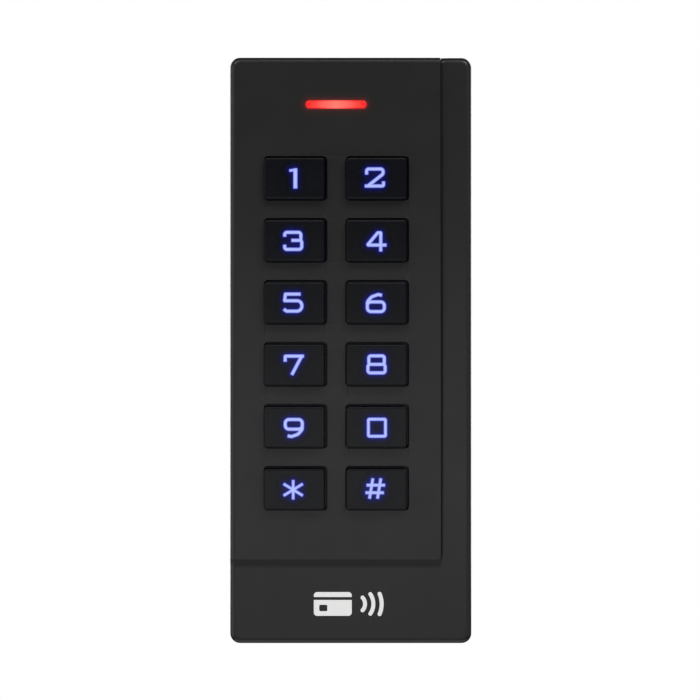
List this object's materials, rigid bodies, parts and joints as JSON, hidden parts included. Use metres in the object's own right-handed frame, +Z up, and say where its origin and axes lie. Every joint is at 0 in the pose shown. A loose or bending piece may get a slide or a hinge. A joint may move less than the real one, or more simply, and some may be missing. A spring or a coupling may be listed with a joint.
{
  "type": "keypad access reader",
  "caption": "Slim upright wall-mounted access reader: black housing, back-lit press keys in two columns, and a red status bar above them.",
  "frame": {"origin": "on the wall, at the centre of the wall plate's outer screw pair, which is also the centre of the housing's outline", "axes": "+Z up along the reader's height, +X to the right seen from the front, and the keys face -Y with the wall at y = 0"},
  "size_m": [0.051, 0.0238, 0.1238],
  "materials": {
    "housing_plastic": "satin",
    "key_plastic": "satin",
    "blue_light": "satin",
    "red_lens": "satin",
    "white_plastic": "satin",
    "silicone": "matte",
    "carbon_rubber": "matte",
    "board_green": "satin",
    "gold_plate": "polished",
    "lamp_resin": "satin",
    "chip_black": "satin",
    "tinned_metal": "satin",
    "sensor_resin": "satin",
    "ivory_plastic": "satin",
    "copper_wire": "satin",
    "screw_steel": "satin",
    "plate_steel": "satin",
    "black_rubber": "matte",
    "clear_plastic": "polished"
  },
  "bodies": {
    "housing": {"front_cover": "housing_plastic", "status_lens": "red_lens", "light_box": "white_plastic", "key_mat": "silicone", "main_board": "board_green", "contact_pads": "gold_plate", "backlight_lamps": "blue_light", "status_lamps": "lamp_resin", "microcontroller": "chip_black", "reader_chip": "chip_black", "crystal": "tinned_metal", "voltage_regulator": "chip_black", "filter_capacitor": "tinned_metal", "protection_diodes": "chip_black", "chip_resistors": "chip_black", "buzzer": "chip_black", "tamper_sensor": "sensor_resin", "wire_header": "ivory_plastic", "header_pins": "gold_plate", "antenna_coil": "copper_wire", "board_screws": "screw_steel", "cover_gasket": "black_rubber", "rear_cover": "housing_plastic", "tamper_window": "clear_plastic", "cable_grommet": "black_rubber", "cover_screws": "screw_steel", "wall_plate": "plate_steel", "security_screw": "screw_steel"},
    "key_1": {"keycap_1": "key_plastic", "contact_pill_1": "carbon_rubber"},
    "key_2": {"keycap_2": "key_plastic", "contact_pill_2": "carbon_rubber"},
    "key_3": {"keycap_3": "key_plastic", "contact_pill_3": "carbon_rubber"},
    "key_4": {"keycap_4": "key_plastic", "contact_pill_4": "carbon_rubber"},
    "key_5": {"keycap_5": "key_plastic", "contact_pill_5": "carbon_rubber"},
    "key_6": {"keycap_6": "key_plastic", "contact_pill_6": "carbon_rubber"},
    "key_7": {"keycap_7": "key_plastic", "contact_pill_7": "carbon_rubber"},
    "key_8": {"keycap_8": "key_plastic", "contact_pill_8": "carbon_rubber"},
    "key_9": {"keycap_9": "key_plastic", "contact_pill_9": "carbon_rubber"},
    "key_0": {"keycap_0": "key_plastic", "contact_pill_0": "carbon_rubber"},
    "key_star": {"keycap_star": "key_plastic", "contact_pill_star": "carbon_rubber"},
    "key_hash": {"keycap_hash": "key_plastic", "contact_pill_hash": "carbon_rubber"}
  },
  "joints": [
    {"name": "press_1", "type": "slide", "parent": "housing", "child": "key_1", "axis": [0, 1, 0], "range_m": [0, 0.0008], "stiffness_N_per_m": 800, "springref_m": -0.0005, "deforming": ["key_mat"]},
    {"name": "press_2", "type": "slide", "parent": "housing", "child": "key_2", "axis": [0, 1, 0], "range_m": [0, 0.0008], "stiffness_N_per_m": 800, "springref_m": -0.0005, "deforming": ["key_mat"]},
    {"name": "press_3", "type": "slide", "parent": "housing", "child": "key_3", "axis": [0, 1, 0], "range_m": [0, 0.0008], "stiffness_N_per_m": 800, "springref_m": -0.0005, "deforming": ["key_mat"]},
    {"name": "press_4", "type": "slide", "parent": "housing", "child": "key_4", "axis": [0, 1, 0], "range_m": [0, 0.0008], "stiffness_N_per_m": 800, "springref_m": -0.0005, "deforming": ["key_mat"]},
    {"name": "press_5", "type": "slide", "parent": "housing", "child": "key_5", "axis": [0, 1, 0], "range_m": [0, 0.0008], "stiffness_N_per_m": 800, "springref_m": -0.0005, "deforming": ["key_mat"]},
    {"name": "press_6", "type": "slide", "parent": "housing", "child": "key_6", "axis": [0, 1, 0], "range_m": [0, 0.0008], "stiffness_N_per_m": 800, "springref_m": -0.0005, "deforming": ["key_mat"]},
    {"name": "press_7", "type": "slide", "parent": "housing", "child": "key_7", "axis": [0, 1, 0], "range_m": [0, 0.0008], "stiffness_N_per_m": 800, "springref_m": -0.0005, "deforming": ["key_mat"]},
    {"name": "press_8", "type": "slide", "parent": "housing", "child": "key_8", "axis": [0, 1, 0], "range_m": [0, 0.0008], "stiffness_N_per_m": 800, "springref_m": -0.0005, "deforming": ["key_mat"]},
    {"name": "press_9", "type": "slide", "parent": "housing", "child": "key_9", "axis": [0, 1, 0], "range_m": [0, 0.0008], "stiffness_N_per_m": 800, "springref_m": -0.0005, "deforming": ["key_mat"]},
    {"name": "press_0", "type": "slide", "parent": "housing", "child": "key_0", "axis": [0, 1, 0], "range_m": [0, 0.0008], "stiffness_N_per_m": 800, "springref_m": -0.0005, "deforming": ["key_mat"]},
    {"name": "press_star", "type": "slide", "parent": "housing", "child": "key_star", "axis": [0, 1, 0], "range_m": [0, 0.0008], "stiffness_N_per_m": 800, "springref_m": -0.0005, "deforming": ["key_mat"]},
    {"name": "press_hash", "type": "slide", "parent": "housing", "child": "key_hash", "axis": [0, 1, 0], "range_m": [0, 0.0008], "stiffness_N_per_m": 800, "springref_m": -0.0005, "deforming": ["key_mat"]}
  ]
}
